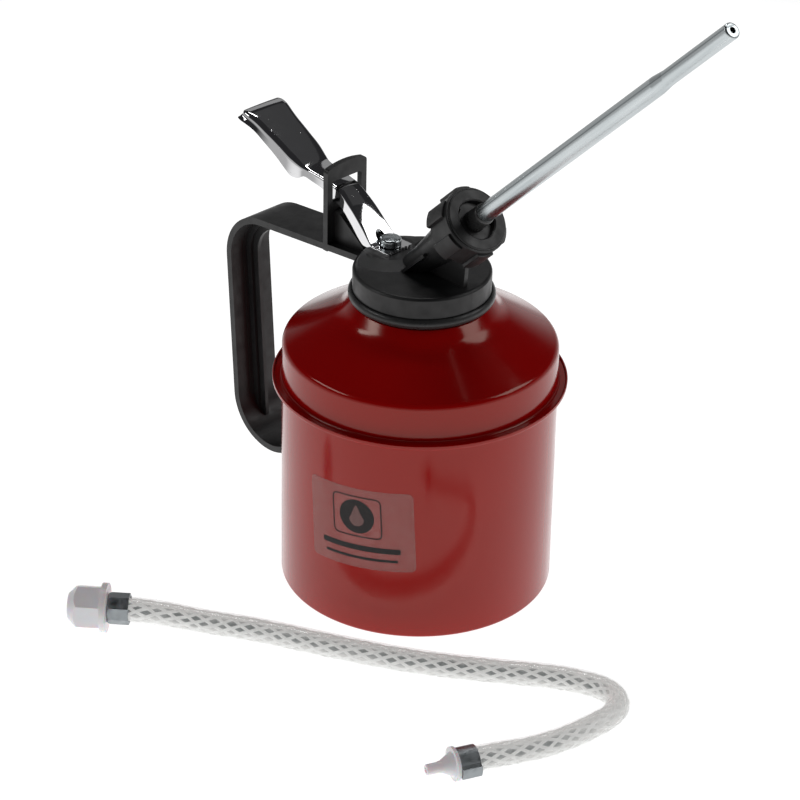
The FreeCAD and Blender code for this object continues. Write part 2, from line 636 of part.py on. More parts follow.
# ---------------------------------------------------------------- gland and rigid spout
def make_gland_nut():
    """A turned ring with a face disc, a collar and six grip pads round its skirt."""
    length, face, collar, floor = dims.nut_length, dims.nut_face_radius, dims.nut_collar, dims.nut_floor
    bore, mouth, lip = 7.85, dims.nut_mouth, 7.5
    body = new_body("gland_nut", SPOUT)
    section = new_sketch(body, "XZ_Plane", [[
        (bore, -length), (floor - 0.3, -length), (floor, -length + 0.3), (floor, -2.4),
        (collar, -2.2), (collar, -0.9), (collar - 0.3, -0.6), (face - 0.1, -0.6), (face, -0.45),
        (face - 0.45, 0, 10.068, -0.132), (mouth + 0.4, 0), (mouth, -0.4), (mouth, -1.8), (lip, -1.8),
        (lip, -3.3), (bore, -3.6)]])
    turned = body.newObject("PartDesign::Revolution", "gland_nut_turned")
    turned.Profile = section
    turned.ReferenceAxis = (section, ["V_Axis"])
    body.Tip = turned
    pad_front, pad_turn, pad_half = -2.0, -12.0, 2.95
    crown = dims.nut_pad
    pad_sketch = new_sketch(body, "XY_Plane", [[
        (floor - 0.3, -pad_half), (crown - 0.5, -pad_half), (crown - 0.29, -pad_half + 0.35),
        (crown - 0.29, pad_half - 0.35, crown, 0), (crown - 0.5, pad_half), (floor - 0.3, pad_half)]],
        offset=-length.value, turn=pad_turn)
    pad = body.newObject("PartDesign::Pad", "gland_nut_pad")
    pad.Profile = pad_sketch
    pad.Length = pad_front + length.value
    body.Tip = pad
    document.recompute()
    pattern = body.newObject("PartDesign::PolarPattern", "gland_nut_pads")
    pattern.Originals = [pad]
    pattern.Axis = (origin_feature(body, "Z_Axis"), [""])
    pattern.Angle = 360
    pattern.Occurrences = 6
    body.Tip = pattern
    node("gland_nut", body)


def make_spout():
    outside, inside = dims.spout_radius, dims.spout_bore
    reach, tip, swage = dims.spout_reach, dims.tip_radius, dims.spout_swage
    node("spout_tube", lathe("spout_tube", [
        (inside, -8.8), (outside, -8.8), (outside, swage), (tip, swage + 5), (tip, reach - 0.6),
        (tip - 0.6, reach, tip - 0.176, reach - 0.176), (1.0, reach), (1.0, reach - 3),
        (tip - 0.75, reach - 4), (tip - 0.75, swage + 5), (inside, swage)], placement=SPOUT))
    node("spout_ferrule", lathe("spout_ferrule", [
        (outside + 0.02, -8.7), (4.2, -8.7), (4.2, -4.45), (6.7, -4.45), (6.7, -3.35), (3.45, -3.35),
        (3.45, 3.5), (outside + 0.02, 4.6, 3.32, 4.24)], placement=SPOUT))
    washer = ring("washer_ring", 3.55, 7.2, -3.3, -1.95, SPOUT)
    slots = []
    for index, turn in enumerate((205, 60)):
        place = SPOUT.multiply(FreeCAD.Placement(V(0, 0, 0), FreeCAD.Rotation(UP, turn)))
        slots.append(lathe("washer_slot_%d" % index, [(5.5, -4), (6.15, -4), (6.15, 0), (5.5, 0)],
                           placement=place, degrees=75))
    node("spout_washer", cut("spout_washer", washer, *slots))


# ---------------------------------------------------------------- flexible spout
HOSE_ROUTE = [
    V(-39.05, -98.55, 7.97), V(-29.24, -90.02, 7.97), V(-17.5, -78.6, 4.3), V(-1.5, -68.5, 4.25),
    V(20.0, -58.4, 4.25), V(44.5, -45.5, 4.25), V(65.0, -30.9, 4.25), V(80.3, -18.7, 4.25),
    V(90.0, -13.9, 4.25), V(96.6, -12.0, 4.25), V(102.9, -14.0, 4.25), V(106.5, -19.6, 4.25),
    V(106.6, -28.0, 4.25), V(105.4, -40.0, 4.25), V(101.8, -52.2, 4.25), V(97.3, -63.4, 5.4),
    V(92.5, -74.8, 5.4)]


def hose_radii():
    """Each arc takes 0.45 of the shorter run on either side of its corner."""
    radii = []
    for before, corner, after in zip(HOSE_ROUTE, HOSE_ROUTE[1:], HOSE_ROUTE[2:]):
        into, out = corner - before, after - corner
        half_turn = into.getAngle(out) / 2
        radii.append(0.45 * min(into.Length, out.Length) / math.tan(half_turn))
    return radii


def sweep_round(edges, radius):
    """A solid rod along a path of lines and arcs."""
    path = Part.Wire(edges)
    start = edges[0].valueAt(edges[0].FirstParameter)
    along = edges[0].tangentAt(edges[0].FirstParameter)
    section = Part.Wire(Part.makeCircle(radius, start, along))
    return path.makePipeShell([section], True, False)


def end_placement(at, inner):
    """Frame at an end of the hose with +Z pointing away from the hose."""
    outward = (at - inner).normalize()
    level = UP.cross(outward).normalize()
    return FreeCAD.Placement(at, FreeCAD.Rotation(level, V(), outward, "ZXY"))


def faceted(name, sides, corner_radius, place, half_section):
    """A regular prism trimmed by a turned envelope that shares its axis."""
    heights = [corner[1] for corner in half_section]
    low, high = min(heights), max(heights)
    prism = document.addObject("Part::Prism", name + "_prism")
    prism.Polygon = sides
    prism.Circumradius = corner_radius
    prism.Height = high - low
    prism.Placement = place.multiply(FreeCAD.Placement(UP * low, FreeCAD.Rotation(UP, 30)))
    return common(name, prism, lathe(name + "_envelope", half_section, placement=place))


def make_flexible_spout():
    radii = hose_radii()
    edges = bend_path(HOSE_ROUTE, radii)
    outside = sweep_round(edges, dims.hose_radius.value)
    inside = sweep_round(edges, dims.hose_bore.value)
    tube = outside.cut(inside)
    length = sum(edge.Length for edge in edges)
    section = math.pi * (dims.hose_radius.value ** 2 - dims.hose_bore.value ** 2)
    print("hose length %.1f  smallest bend %.1f  volume ratio %.4f" % (
        length, min(radii), tube.Volume / (section * length)))
    print("hose radii", " ".join("%.1f" % radius for radius in radii))
    node("hose_tube", feature("hose_tube", tube))

    rear = end_placement(HOSE_ROUTE[0], HOSE_ROUTE[1])
    front = end_placement(HOSE_ROUTE[-1], HOSE_ROUTE[-2])
    flange_face, hex_end, hex_across, hex_face = 1.9, 12.5, 12.9, 4.2
    stem_radius = dims.hose_bore - 0.04
    core = lathe("coupling_core", [(0, -8.0), (stem_radius - 0.5, -8.0), (stem_radius, -7.0),
                                   (stem_radius, 0.02), (7.95, 0.02), (7.95, flange_face),
                                   (0, flange_face)], placement=rear)
    nut_end = faceted("coupling_hexagon", 6, hex_across / math.sqrt(3), rear, [
        (0, flange_face - 0.1), (9, flange_face - 0.1), (9, hex_end - 9 + hex_face),
        (hex_face, hex_end), (0, hex_end)])
    body = fuse("coupling_solid", core, nut_end)
    node("hose_coupling", cut("hose_coupling", body, rod("coupling_bore", 1.3, -9.0, 4.0, rear),
                              rod("coupling_socket", 2.9, 3.0, 13.0, rear)))
    inner = dims.hose_radius + 0.02
    crimp = faceted("rear_crimp", 8, 5.1, rear, [
        (0, -7.0), (5.1, -7.0), (5.1, -1.8), (4.5, -0.1, 4.95, -0.75), (0, -0.1)])
    node("hose_ferrule_rear", cut("hose_ferrule_rear", crimp,
                                  rod("rear_crimp_bore", inner, -8.0, 1.0, rear)))
    # A strip clamp with one pinched ear along its side.
    lug_turn = -95.0
    band = ring("ferrule_band", inner, 4.7, -6.4, -0.1, front)
    lug = plate("ferrule_lug", "XY_Plane", 6.3, [
        (-2.3, 4.0), (2.3, 4.0), (1.5, 5.0), (1.8, 5.7, 1.75, 5.3), (-1.8, 5.7, 0, 5.95),
        (-1.5, 5.0, -1.75, 5.3)],
        placement=front.multiply(FreeCAD.Placement(V(0, 0, -3.25), FreeCAD.Rotation(UP, lug_turn))))
    ear_trim = rod("ferrule_ear_trim", inner, -7.0, 0.0, front)
    node("hose_ferrule_front", cut("hose_ferrule_front", fuse("ferrule_solid", band, lug), ear_trim))
    nozzle = lathe("nozzle_solid", [(0, -7.5), (stem_radius - 0.5, -7.5), (stem_radius, -6.5),
                                    (stem_radius, 0.02), (5.35, 0.02), (5.35, 1.1), (3.9, 1.1),
                                    (2.0, 4.6), (1.75, 6.0), (1.7, 9.2), (1.4, 9.5), (0, 9.5)],
                   placement=front)
    node("hose_nozzle", cut("hose_nozzle", nozzle, rod("nozzle_bore", 0.9, -8.0, 10.0, front)))


make_can()
make_pump_cover()
make_lever()
make_pump()
make_return_spring()
make_outlet_valve()
make_gland_nut()
make_spout()
make_flexible_spout()
document.recompute()

# ---------------------------------------------------------------- check and write
for item in document.Objects:
    if "Invalid" in item.State or "Error" in item.State:
        raise RuntimeError("%s failed: %s" % (item.Name, item.State))
for item in NODES:
    if item.Shape.isNull() or not item.Shape.isValid():
        raise RuntimeError("%s has no valid shape" % item.Label)
os.makedirs("parts", exist_ok=True)
for item in NODES:
    item.Shape.exportStep("parts/%s.step" % item.Label)
    box = item.Shape.BoundBox
    print("%-20s solids %d  volume %9.1f  X %7.1f %7.1f  Y %7.1f %7.1f  Z %7.1f %7.1f" % (
        item.Label, len(item.Shape.Solids), item.Shape.Volume, box.XMin, box.XMax, box.YMin, box.YMax,
        box.ZMin, box.ZMax))
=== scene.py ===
import json
import math

import bmesh
import bpy
from mathutils import Matrix, Vector


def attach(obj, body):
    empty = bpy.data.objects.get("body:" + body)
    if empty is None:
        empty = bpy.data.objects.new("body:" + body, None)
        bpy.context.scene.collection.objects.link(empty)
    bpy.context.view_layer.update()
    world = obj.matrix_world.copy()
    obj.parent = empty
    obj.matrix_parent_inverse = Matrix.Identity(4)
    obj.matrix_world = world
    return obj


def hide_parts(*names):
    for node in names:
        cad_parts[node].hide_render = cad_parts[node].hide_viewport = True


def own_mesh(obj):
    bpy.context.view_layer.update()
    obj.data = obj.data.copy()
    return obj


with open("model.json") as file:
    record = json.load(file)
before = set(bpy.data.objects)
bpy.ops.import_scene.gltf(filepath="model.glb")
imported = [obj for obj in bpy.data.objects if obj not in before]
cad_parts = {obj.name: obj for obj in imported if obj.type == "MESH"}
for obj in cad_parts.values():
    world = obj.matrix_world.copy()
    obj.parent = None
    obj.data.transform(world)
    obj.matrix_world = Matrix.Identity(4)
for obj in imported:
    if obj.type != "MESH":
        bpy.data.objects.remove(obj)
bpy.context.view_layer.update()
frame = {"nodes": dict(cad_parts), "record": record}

MM = 0.001
UP = Vector((0, 0, 1))


# ------------------------------------------------------------------ camera
# The camera looks down at the can from between the spout side (+X) and the near side (-Y).
CAMERA_DISTANCE = 1.0893
CAMERA_PITCH = math.radians(29.66)
CAMERA_TURN = math.radians(45.0)
CAMERA_ROLL = math.radians(1.17)
# Where the centre of the can's base lies off the view's centre line: to the right, and up.
BASE_IN_VIEW = (0.00507, -0.05390)
SENSOR_WIDTH = 36.0
FOCAL_LENGTH = 149.04


def make_camera():
    """A long lens aimed so that the can's base lies where BASE_IN_VIEW says."""
    back = Vector((math.sin(CAMERA_TURN) * math.cos(CAMERA_PITCH),
                   -math.cos(CAMERA_TURN) * math.cos(CAMERA_PITCH), math.sin(CAMERA_PITCH)))
    level = Vector((math.cos(CAMERA_TURN), math.sin(CAMERA_TURN), 0))
    above = back.cross(level)
    right = level * math.cos(CAMERA_ROLL) + above * math.sin(CAMERA_ROLL)
    up = above * math.cos(CAMERA_ROLL) - level * math.sin(CAMERA_ROLL)
    place = back * CAMERA_DISTANCE - right * BASE_IN_VIEW[0] - up * BASE_IN_VIEW[1]
    data = bpy.data.cameras.new("camera")
    data.sensor_width = SENSOR_WIDTH
    data.lens = FOCAL_LENGTH
    data.clip_start = 0.01
    camera = bpy.data.objects.new("camera", data)
    bpy.context.collection.objects.link(camera)
    camera.matrix_world = Matrix((
        (right.x, up.x, back.x, place.x), (right.y, up.y, back.y, place.y),
        (right.z, up.z, back.z, place.z), (0, 0, 0, 1)))
    bpy.context.scene.camera = camera


# ------------------------------------------------------------------ light and floor
def area_light(name, place, target, size, power):
    """A rectangular light at a place, turned towards a target."""
    data = bpy.data.lights.new(name, "AREA")
    data.shape = "RECTANGLE"
    data.size, data.size_y = size
    data.energy = power
    light = bpy.data.objects.new(name, data)
    bpy.context.collection.objects.link(light)
    light.location = place
    light.rotation_euler = (place - target).to_track_quat("Z", "Y").to_euler()


# (height of the sky's direction, grey) where the bright horizon ends, and where the dim ceiling starts.
HORIZON = (0.02, (0.50, 0.50, 0.50, 1))
CEILING = (0.30, (0.022, 0.022, 0.0235, 1))
SOFT_BOX_DISTANCE = 1.5
SOFT_BOX_AIM = Vector((0, 0, 0.08))
# Name, direction round from +X and height above the horizon in degrees, size in metres, watts.
SOFT_BOXES = (
    ("soft_box_left", -130.0, 36.0, (0.85, 0.2), 2.6),
    ("soft_box_right", 47.0, 39.0, (0.8, 0.55), 3.4),
    ("hair_light", 135.0, 65.0, (0.75, 0.12), 3.6),
    ("back_card", 135.0, 30.0, (1.0, 0.5), 0.45),
    ("top_card", 95.0, 56.0, (1.0, 0.45), 0.04),
)
FLOOR_REACH = 0.95
FLOOR_GAP = 0.0002
# Where the floor's glow starts to fall off and where it has fallen, from the can's middle.
GLOW_RADII = (0.48, 0.66)
GLOW = (0.99, 0.40)


def make_studio():
    """A glowing white table, a dim ceiling, two soft boxes, a hair light and two dim cards."""
    scene = bpy.context.scene
    scene.view_settings.view_transform = "Standard"
    world = bpy.data.worlds.new("studio")
    scene.world = world
    world.use_nodes = True
    tree = world.node_tree
    background = tree.nodes["Background"]
    where = tree.nodes.new("ShaderNodeTexCoord")
    split = tree.nodes.new("ShaderNodeSeparateXYZ")
    ramp = tree.nodes.new("ShaderNodeValToRGB")
    for stop, (position, grey) in zip(ramp.color_ramp.elements, (HORIZON, CEILING)):
        stop.position = position
        stop.color = grey
    tree.links.new(where.outputs["Generated"], split.inputs[0])
    tree.links.new(split.outputs["Z"], ramp.inputs[0])
    tree.links.new(ramp.outputs[0], background.inputs["Color"])
    background.inputs["Strength"].default_value = 1.0
    for name, turn, rise, size, power in SOFT_BOXES:
        turn, rise = math.radians(turn), math.radians(rise)
        away = Vector((math.cos(turn) * math.cos(rise), math.sin(turn) * math.cos(rise), math.sin(rise)))
        area_light(name, SOFT_BOX_AIM + away * SOFT_BOX_DISTANCE, SOFT_BOX_AIM, size, power)
    mesh = bpy.data.meshes.new("floor")
    reach = FLOOR_REACH
    mesh.from_pydata([(-reach, -reach, 0), (reach, -reach, 0), (reach, reach, 0), (-reach, reach, 0)],
                     [], [(0, 1, 2, 3)])
    floor = bpy.data.objects.new("floor", mesh)
    bpy.context.collection.objects.link(floor)
    floor.location.z = -FLOOR_GAP
    white = Finish("floor_white", (0.30, 0.30, 0.30), roughness=0.9, Specular_IOR_Level=0.0)
    white.shader.inputs["Emission Color"].default_value = (1, 1, 1, 1)
    away = white.node("ShaderNodeVectorMath", operation="LENGTH")
    white.link(white.where, away.inputs[0])
    glow = white.ramp(away.outputs["Value"], (GLOW_RADII[0], GLOW[0]), (GLOW_RADII[1], GLOW[1]))
    white.link(glow, white.shader.inputs["Emission Strength"])
    mesh.materials.append(white.material)


# ------------------------------------------------------------------ materials
# Direction across the spout towards its upper side, and the height of its axis in that direction.
SPOUT_RISE = math.radians(44.5)
SPOUT_TOP = (-math.sin(SPOUT_RISE), 0.0, math.cos(SPOUT_RISE))
SPOUT_HEIGHT = 0.0230 * SPOUT_TOP[0] + 0.1351 * SPOUT_TOP[2]
# Where a dark line is painted along the tube, above the axis in that direction: a painted reflection
# standing in for the edge of the dark ceiling's reflection.
SPOUT_REFLECTION_LINE = 0.0013


class Finish:
    """A procedural material: a Principled shader fed by small noise and bump networks."""

    def __init__(self, name, colour, roughness=0.4, metallic=0.0, **extra):
        self.material = bpy.data.materials.new(name)
        self.material.use_nodes = True
        self.tree = self.material.node_tree
        self.shader = self.tree.nodes["Principled BSDF"]
        self.shader.inputs["Base Color"].default_value = (*colour, 1)
        self.shader.inputs["Roughness"].default_value = roughness
        self.shader.inputs["Metallic"].default_value = metallic
        for socket, value in extra.items():
            self.shader.inputs[socket.replace("_", " ")].default_value = value
        self.where = self.node("ShaderNodeTexCoord").outputs["Object"]
        self.height = None

    def node(self, kind, **settings):
        made = self.tree.nodes.new(kind)
        for key, value in settings.items():
            setattr(made, key, value)
        return made

    def link(self, source, target):
        self.tree.links.new(source, target)

    def stretched(self, scale, turn=(0, 0, 0)):
        """Coordinates that run scale times longer along each axis of a turned frame."""
        mapping = self.node("ShaderNodeMapping", vector_type="TEXTURE")
        mapping.inputs["Scale"].default_value = scale
        mapping.inputs["Rotation"].default_value = turn
        self.link(self.where, mapping.inputs["Vector"])
        return mapping.outputs[0]

    def noise(self, scale, detail=3.0, where=None, roughness=0.5):
        made = self.node("ShaderNodeTexNoise")
        made.inputs["Scale"].default_value = scale
        made.inputs["Detail"].default_value = detail
        made.inputs["Roughness"].default_value = roughness
        self.link(where or self.where, made.inputs["Vector"])
        return made.outputs["Fac"]

    def spots(self, scale, size, where=None):
        """1 inside small round spots of the given size, else 0."""
        made = self.node("ShaderNodeTexVoronoi")
        made.inputs["Scale"].default_value = scale
        self.link(where or self.where, made.inputs["Vector"])
        return self.ramp(made.outputs["Distance"], (size * 0.6, 1.0), (size, 0.0))

    def ramp(self, value, low, high):
        """A value between two (position, result) stops."""
        made = self.node("ShaderNodeMapRange", clamp=True)
        made.inputs["From Min"].default_value = low[0]
        made.inputs["From Max"].default_value = high[0]
        made.inputs["To Min"].default_value = low[1]
        made.inputs["To Max"].default_value = high[1]
        self.link(value, made.inputs["Value"])
        return made.outputs[0]

    def blend_colour(self, share, first, second):
        """Base colour between two colours, by a 0 to 1 value."""
        made = self.node("ShaderNodeMix", data_type="RGBA")
        self.link(share, made.inputs["Factor"])
        made.inputs["A"].default_value = (*first, 1)
        made.inputs["B"].default_value = (*second, 1)
        self.link(made.outputs["Result"], self.shader.inputs["Base Color"])
        return made

    def math(self, operation, first, second):
        made = self.node("ShaderNodeMath", operation=operation)
        for slot, value in enumerate((first, second)):
            if isinstance(value, (int, float)):
                made.inputs[slot].default_value = value
            else:
                self.link(value, made.inputs[slot])
        return made.outputs[0]

    def rough(self, value):
        self.link(value, self.shader.inputs["Roughness"])

    def bump(self, value, depth, strength=1.0):
        """Adds a bump of that depth in metres under the shader, chained after earlier ones."""
        made = self.node("ShaderNodeBump")
        made.inputs["Distance"].default_value = depth
        made.inputs["Strength"].default_value = strength
        self.link(value, made.inputs["Height"])
        if self.height:
            self.link(self.height, made.inputs["Normal"])
        self.height = made.outputs[0]
        self.link(self.height, self.shader.inputs["Normal"])


def red_enamel():
    """Stoved enamel on sheet steel: deep red, faint orange peel, a few dust specks."""
    made = Finish("red_enamel", (0.33, 0.0004, 0.0004), roughness=0.18,
                  Specular_Tint=(1.0, 0.92, 0.80, 1.0), Specular_IOR_Level=0.46)
    made.blend_colour(made.noise(38, 4), (0.325, 0.0003, 0.0003), (0.38, 0.0005, 0.0005))
    made.rough(made.ramp(made.noise(90, 5), (0.3, 0.10), (0.75, 0.18)))
    made.bump(made.noise(420, 2), 0.00002, 0.5)
    made.bump(made.spots(110, 0.03), 0.00005, 0.5)
    return made.material


def black_nylon():
    """Glass-filled nylon moulding: satin black with a fine grain and faint flow marks."""
    made = Finish("black_nylon", (0.018, 0.018, 0.019), roughness=0.42)
    made.blend_colour(made.noise(70, 5), (0.006, 0.006, 0.0062), (0.013, 0.013, 0.0135))
    made.rough(made.ramp(made.noise(260, 6), (0.3, 0.34), (0.7, 0.52)))
    made.bump(made.noise(1900, 3), 0.00004, 0.45)
    made.bump(made.noise(120, 3), 0.0001, 0.25)
    return made.material


def black_rubber():
    """Smooth rubber, a little greyer and glossier than the moulding."""
    made = Finish("black_rubber", (0.012, 0.012, 0.012), roughness=0.3)
    made.blend_colour(made.noise(120, 4), (0.018, 0.018, 0.018), (0.034, 0.034, 0.034))
    made.rough(made.ramp(made.noise(420, 4), (0.3, 0.24), (0.7, 0.44)))
    made.bump(made.noise(800, 3), 0.00003, 0.4)
    return made.material


def metal(name, colour, roughness, streaks=None, grain=900, depth=0.00002, spots=None):
    """Bare or plated metal with fine grain, optional streaks along one way, optional pits."""
    made = Finish(name, colour, roughness=roughness, metallic=1.0)
    where = made.stretched(*streaks) if streaks else None
    cloud = made.noise(60, 5, where)
    dark = tuple(part * 0.82 for part in colour)
    made.blend_colour(cloud, dark, tuple(min(1.0, part * 1.1) for part in colour))
    made.rough(made.ramp(made.noise(grain * 0.4, 5, where), (0.3, roughness * 0.75), (0.7, roughness * 1.4)))
    made.bump(made.noise(grain, 3, where), depth, 0.5)
    if spots:
        made.bump(made.math("MULTIPLY", made.spots(*spots), -1.0), 0.00004, 0.8)
    return made.material


def zinc_plate():
    """Bright zinc on drawn tube: streaks along the spout, and a painted reflection, a dark line along its
    upper side where the dark ceiling's reflection begins, sunk by a slight groove bump.
    """
    made = Finish("zinc_plate", (0.5, 0.54, 0.56), roughness=0.22, metallic=1.0)
    streaks = made.stretched((1.0, 1.0, 25.0), (0, math.pi / 2 - SPOUT_RISE, 0))
    cloud = made.noise(330, 6, streaks, 0.65)
    tone = made.blend_colour(made.ramp(cloud, (0.32, 0.0), (0.68, 1.0)), (0.40, 0.44, 0.455),
                             (0.66, 0.70, 0.71))
    across = made.node("ShaderNodeVectorMath", operation="DOT_PRODUCT")
    made.link(made.where, across.inputs[0])
    across.inputs[1].default_value = SPOUT_TOP
    # Painted reflection: the thin dark band mixed in below stands in for the edge of the dark ceiling's
    # reflection.
    height = made.math("SUBTRACT", across.outputs["Value"], SPOUT_HEIGHT + SPOUT_REFLECTION_LINE)
    seam = made.ramp(made.math("ABSOLUTE", height, 0.0), (0.00008, 1.0), (0.0003, 0.0))
    dark = made.node("ShaderNodeMix", data_type="RGBA")
    made.link(made.math("MULTIPLY", seam, 0.55), dark.inputs["Factor"])
    made.link(tone.outputs["Result"], dark.inputs["A"])
    dark.inputs["B"].default_value = (0.06, 0.08, 0.09, 1)
    made.link(dark.outputs["Result"], made.shader.inputs["Base Color"])
    made.rough(made.ramp(cloud, (0.3, 0.16), (0.7, 0.32)))
    made.bump(made.math("MULTIPLY", seam, -1.0), 0.00005, 0.6)
    made.bump(made.noise(1500, 3, streaks), 0.00002, 0.5)
    return made.material


def white_nylon():
    """Unfilled nylon: milky, with light passing through its thin parts, and a faint painted glow standing in
    for that light.
    """
    # The small emission is a painted glow that brightens the nylon as light through it would.
    made = Finish("white_nylon", (0.80, 0.80, 0.83), roughness=0.34, Subsurface_Weight=0.5,
                  Subsurface_Scale=0.003, Emission_Strength=0.08)
    made.shader.inputs["Emission Color"].default_value = (0.93, 0.93, 0.95, 1)
    made.blend_colour(made.noise(150, 4), (0.72, 0.73, 0.76), (0.86, 0.86, 0.88))
    made.rough(made.ramp(made.noise(500, 3), (0.3, 0.28), (0.7, 0.42)))
    made.bump(made.noise(700, 3), 0.00004, 0.4)
    return made.material


def clear_hose():
    """Outer skin of the hose: clear, glossy and slightly wavy."""
    made = Finish("clear_hose", (0.93, 0.94, 0.93), roughness=0.1, Alpha=0.2, Coat_Weight=0.6)
    made.rough(made.ramp(made.noise(300, 3), (0.3, 0.06), (0.7, 0.2)))
    made.bump(made.noise(260, 3), 0.0001, 0.4)
    return made.material


def braid_yarn():
    """White yarn with a painted glow, standing in for the light the clear wall round it lets through."""
    # The emission is a painted glow, not a lamp.
    made = Finish("braid_yarn", (0.88, 0.88, 0.87), roughness=0.4, Emission_Strength=0.26)
    made.shader.inputs["Emission Color"].default_value = (0.95, 0.94, 0.92, 1)
    made.blend_colour(made.noise(700, 4), (0.66, 0.67, 0.66), (0.95, 0.95, 0.94))
    made.bump(made.noise(2600, 3), 0.00006, 0.6)
    return made.material


def hose_core():
    """Clear tube with a painted glow standing in for light let through it: darker where it is looked
    straight through, paler towards its edges.
    """
    made = Finish("hose_core", (0.42, 0.44, 0.44), roughness=0.25, Alpha=0.75, Emission_Strength=0.2)
    edge = made.node("ShaderNodeLayerWeight")
    edge.inputs["Blend"].default_value = 0.5
    cloud = made.ramp(made.noise(160, 5), (0.3, -0.12), (0.7, 0.12))
    edge_glow = made.ramp(made.math("ADD", edge.outputs["Facing"], cloud), (0.03, 0.0), (0.33, 1.0))
    tone = made.blend_colour(edge_glow, (0.18, 0.20, 0.20), (0.83, 0.82, 0.81))
    # Painted glow: this emission colour lights the core as light through the clear hose would, dark facing
    # the view and pale at the edges.
    made.link(tone.outputs["Result"], made.shader.inputs["Emission Color"])
    made.bump(made.noise(400, 3), 0.0001, 0.4)
    return made.material


def label_film_finish():
    """Thin clear film, hazy and pinkish where the enamel shows through."""
    made = Finish("label_film", (0.62, 0.36, 0.36), roughness=0.35, Alpha=0.21)
    made.blend_colour(made.noise(420, 8, roughness=0.75), (0.30, 0.05, 0.05), (0.80, 0.52, 0.48))
    made.rough(made.ramp(made.noise(500, 5), (0.3, 0.25), (0.7, 0.5)))
    made.bump(made.noise(300, 5), 0.00005, 0.5)
    return made.material


def label_ink():
    """Black print with a faint red cast."""
    made = Finish("label_ink", (0.02, 0.018, 0.018), roughness=0.5, Specular_IOR_Level=0.25)
    made.blend_colour(made.noise(900, 4), (0.010, 0.009, 0.009), (0.03, 0.024, 0.024))
    made.bump(made.noise(900, 3), 0.00002, 0.4)
    return made.material


def make_materials():
    """One finish for each of the record's material slots."""
    return {
        "red_enamel": red_enamel(),
        "black_nylon": black_nylon(),
        "black_rubber": black_rubber(),
        "chrome": metal("chrome_plate", (0.80, 0.80, 0.81), 0.06, grain=500, depth=0.00001,
                        spots=(420, 0.06)),
        "zinc_steel": zinc_plate(),
        "tinned_steel": metal("tinned_steel", (0.60, 0.60, 0.60), 0.35),
        "spring_steel": metal("spring_steel", (0.50, 0.50, 0.50), 0.3),
        "ball_steel": metal("ball_steel", (0.75, 0.75, 0.76), 0.08),
        "crimped_steel": metal("crimped_steel", (0.34, 0.365, 0.38), 0.42, grain=1200, depth=0.00008),
        "brass": metal("turned_brass", (0.72, 0.55, 0.25), 0.25),
        "white_nylon": white_nylon(),
        "clear_hose": clear_hose(),
        "clear_film": label_film_finish(),
    }


# ------------------------------------------------------------------ mesh helpers
def new_piece(name, verts, faces, material, body, sharp=math.radians(35)):
    """A smooth-shaded mesh that rides on a body, with edges over the sharp angle kept crisp."""
    mesh = bpy.data.meshes.new(name)
    mesh.from_pydata([tuple(v) for v in verts], [], faces)
    work = bmesh.new()
    work.from_mesh(mesh)
    bmesh.ops.remove_doubles(work, verts=work.verts, dist=1e-7)
    bmesh.ops.recalc_face_normals(work, faces=work.faces)
    for face in work.faces:
        face.smooth = True
    for edge in work.edges:
        edge.smooth = edge.is_boundary or edge.calc_face_angle(0.0) < sharp
    work.to_mesh(mesh)
    work.free()
    mesh.materials.append(material)
    piece = bpy.data.objects.new(name, mesh)
    bpy.context.collection.objects.link(piece)
    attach(piece, body)
    return piece


def rounded(outline, radii, steps=5):
    """A closed 2-D outline with its corners replaced by arcs. A radius of 0 keeps a corner."""
    out = []
    count = len(outline)
    for index in range(count):
        here = Vector(outline[index])
        radius = radii[index] if isinstance(radii, (list, tuple)) else radii
        before, after = Vector(outline[index - 1]), Vector(outline[(index + 1) % count])
        if radius <= 0:
            out.append(here)
            continue
        into, away = (before - here), (after - here)
        corner = into.angle(away)
        reach = min(radius / math.tan(corner / 2), 0.45 * into.length, 0.45 * away.length)
        radius = reach * math.tan(corner / 2)
        start, end = here + into.normalized() * reach, here + away.normalized() * reach
        middle = here + (into.normalized() + away.normalized()).normalized() * (
            radius / math.sin(corner / 2))
        first, last = start - middle, end - middle
        sweep = first.angle_signed(last)
        for step in range(steps + 1):
            out.append(middle + Matrix.Rotation(-sweep * step / steps, 2) @ first)
    return out


def lathe(name, profile, material, body, segments=256):
    """A closed half section in (radius, height) turned about Z."""
    verts, faces = [], []
    count = len(profile)
    for turn in range(segments):
        angle = 2 * math.pi * turn / segments
        for point in profile:
            verts.append(Vector((max(point[0], 0) * math.cos(angle), max(point[0], 0) * math.sin(angle),
                                 point[1])))
        following = (turn + 1) % segments
        for index in range(count):
            after = (index + 1) % count
            if profile[index][0] <= 0 and profile[after][0] <= 0:
                continue
            faces.append((turn * count + index, turn * count + after, following * count + after,
                          following * count + index))
    return new_piece(name, verts, faces, material, body)


# ------------------------------------------------------------------ flexible spout
# The same corners as the hose's route in the CAD part, in metres.
HOSE_ROUTE = [Vector(point) * MM for point in (
    (-39.05, -98.55, 7.97), (-29.24, -90.02, 7.97), (-17.5, -78.6, 4.3), (-1.5, -68.5, 4.25),
    (20.0, -58.4, 4.25), (44.5, -45.5, 4.25), (65.0, -30.9, 4.25), (80.3, -18.7, 4.25),
    (90.0, -13.9, 4.25), (96.6, -12.0, 4.25), (102.9, -14.0, 4.25), (106.5, -19.6, 4.25),
    (106.6, -28.0, 4.25), (105.4, -40.0, 4.25), (101.8, -52.2, 4.25), (97.3, -63.4, 5.4),
    (92.5, -74.8, 5.4))]
HOSE_RADIUS = 4.2 * MM
CORE_RADIUS = 2.9 * MM
HOSE_STEP = 1.2 * MM


